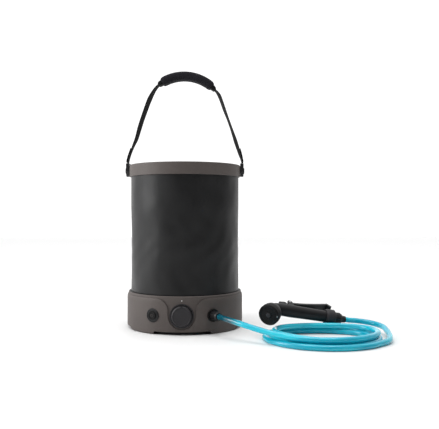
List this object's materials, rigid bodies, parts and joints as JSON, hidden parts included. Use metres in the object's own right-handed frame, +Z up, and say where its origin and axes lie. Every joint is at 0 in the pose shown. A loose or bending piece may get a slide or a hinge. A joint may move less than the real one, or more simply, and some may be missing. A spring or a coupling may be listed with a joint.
{
  "type": "camp shower pump",
  "caption": "Open-topped fabric bucket on a round pump base, with a padded carry strap, push button, twist-in battery, tinted hose and lever-operated hand sprayer.",
  "frame": {"origin": "on the base's axis at floor level, just under the bottom cover", "axes": "+Z up, -Y to the front with the battery and the controls, +X to the hose side"},
  "size_m": [0.6197, 0.4548, 0.6345],
  "materials": {
    "base_plastic": "fine moulded grain",
    "coated_fabric": "coated, satin",
    "black_plastic": "satin moulded",
    "dark_plastic": "satin moulded",
    "inner_plastic": "smooth moulded",
    "webbing": "woven",
    "grip_foam": "soft skin",
    "hose_vinyl": "clear tinted",
    "seal_rubber": "matte",
    "steel": "brushed",
    "brass_contacts": "plated",
    "cell_wrap": "shrink wrap",
    "board": "solder mask",
    "impeller_plastic": "moulded"
  },
  "bodies": {
    "root": {"base_shell": "base_plastic", "reservoir_wall": "coated_fabric", "outlet_flange": "black_plastic", "outlet_nut": "black_plastic", "outlet_fitting": "black_plastic", "power_switch": "black_plastic", "face_screw": "black_plastic", "sprayer_nut": "black_plastic", "sprayer_sleeve": "black_plastic", "battery_socket": "dark_plastic", "button_bezel": "dark_plastic", "sprayer_body": "dark_plastic", "sprayer_collar": "dark_plastic", "spray_head": "dark_plastic", "bottom_cover": "inner_plastic", "reservoir_floor": "inner_plastic", "hem_ring": "inner_plastic", "intake_strainer": "inner_plastic", "pump_cover": "inner_plastic", "pump_housing": "inner_plastic", "hose_lead": "hose_vinyl", "hose_coil": "hose_vinyl", "hose_tail": "hose_vinyl", "deck_gasket": "seal_rubber", "shaft_seal": "seal_rubber", "outlet_seal": "seal_rubber", "valve_seal": "seal_rubber", "cover_screws": "steel", "motor": "steel", "lever_pin": "steel", "contact_block": "brass_contacts", "circuit_board": "board"},
    "rim": {"rim_ring": "base_plastic", "rim_clamp": "inner_plastic", "rim_pegs": "black_plastic"},
    "handle": {"strap_fittings": "black_plastic", "strap": "webbing", "grip_core": "grip_foam", "grip_wrap": "grip_foam"},
    "battery": {"battery_case": "black_plastic", "battery_cells": "cell_wrap", "battery_cap": "dark_plastic"},
    "button": {"power_button": "black_plastic"},
    "rotor": {"impeller": "impeller_plastic", "pump_shaft": "steel"},
    "lever": {"lever": "black_plastic"},
    "valve": {"valve_stem": "steel"},
    "dial": {"spray_face": "black_plastic"}
  },
  "joints": [
    {"name": "rim_collapse", "type": "slide", "parent": "root", "child": "rim", "axis": [0, 0, -1], "range_m": [0, 0.25], "deforming": ["reservoir_wall"]},
    {"name": "handle_swing", "type": "hinge", "parent": "rim", "child": "handle", "pos_m": [0, 0, 0.386], "axis": [1, 0, 0], "range_deg": [-100, 100]},
    {"name": "battery_twist", "type": "hinge", "parent": "root", "child": "battery", "pos_m": [0, -0.15, 0.044], "axis": [0, -1, 0], "range_deg": [0, 30]},
    {"name": "power_press", "type": "slide", "parent": "root", "child": "button", "axis": [0.4772, 0.8788, 0], "range_m": [0, 0.0018], "stiffness_N_per_m": 1500},
    {"name": "pump_spin", "type": "hinge", "parent": "root", "child": "rotor", "pos_m": [0.03632, -0.02291, 0.03], "axis": [0, 0, 1], "continuous": true},
    {"name": "lever_squeeze", "type": "hinge", "parent": "root", "child": "lever", "pos_m": [0.24815, -0.10226, 0.06064], "axis": [-0.2559, 0.3237, -0.9109], "range_deg": [0, 9], "stiffness_Nm_per_rad": 5},
    {"name": "valve_slide", "type": "slide", "parent": "root", "child": "valve", "axis": [0.1631, -0.9143, -0.3708], "range_m": [0, 0.0032]},
    {"name": "pattern_turn", "type": "hinge", "parent": "root", "child": "dial", "pos_m": [0.19587, -0.17043, 0.05109], "axis": [-0.4432, -0.8767, -0.1871], "continuous": true}
  ],
  "couplings": [
    {"joint": "valve_slide", "follows": "lever_squeeze", "m_per_rad": 0.02}
  ]
}
